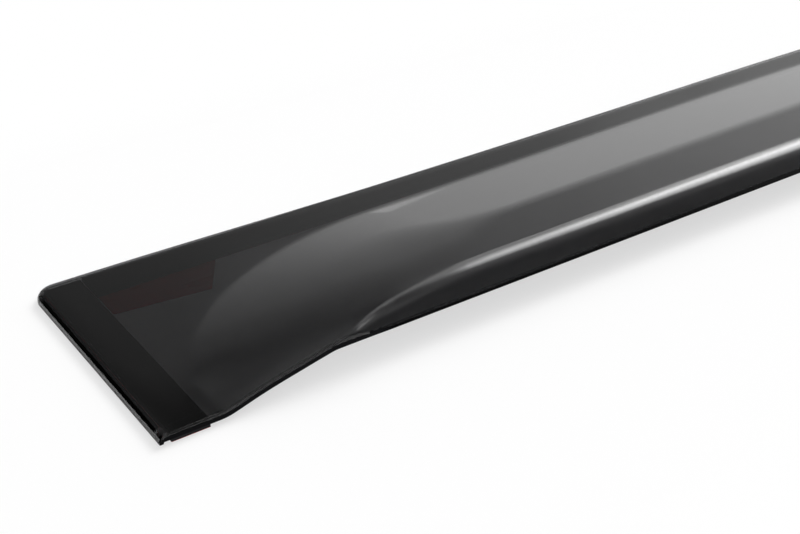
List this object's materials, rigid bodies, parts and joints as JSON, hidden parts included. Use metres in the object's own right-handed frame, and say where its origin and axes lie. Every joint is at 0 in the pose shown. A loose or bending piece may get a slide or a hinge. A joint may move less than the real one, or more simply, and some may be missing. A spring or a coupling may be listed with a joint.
{
  "type": "window rain deflector",
  "caption": "Smoked acrylic side-window rain deflector: flat taped flange and end feet, a rounded bulge with a ridge, and a steep open lower lip.",
  "frame": {"origin": "middle of the deflector on the plane of the release film, which it rests on", "axes": "+X along the window edge, +Y towards the taped top edge, +Z out of the door"},
  "size_m": [0.68, 0.078, 0.0158],
  "materials": {
    "smoked_acrylic": "polished, tinted and see-through",
    "foam_tape": "matte closed-cell foam",
    "release_film": "satin film"
  },
  "bodies": {
    "root": {"deflector": "smoked_acrylic", "top_tape": "foam_tape", "near_end_tape": "foam_tape", "far_end_tape": "foam_tape", "top_film": "release_film", "near_end_film": "release_film", "far_end_film": "release_film"}
  },
  "joints": []
}
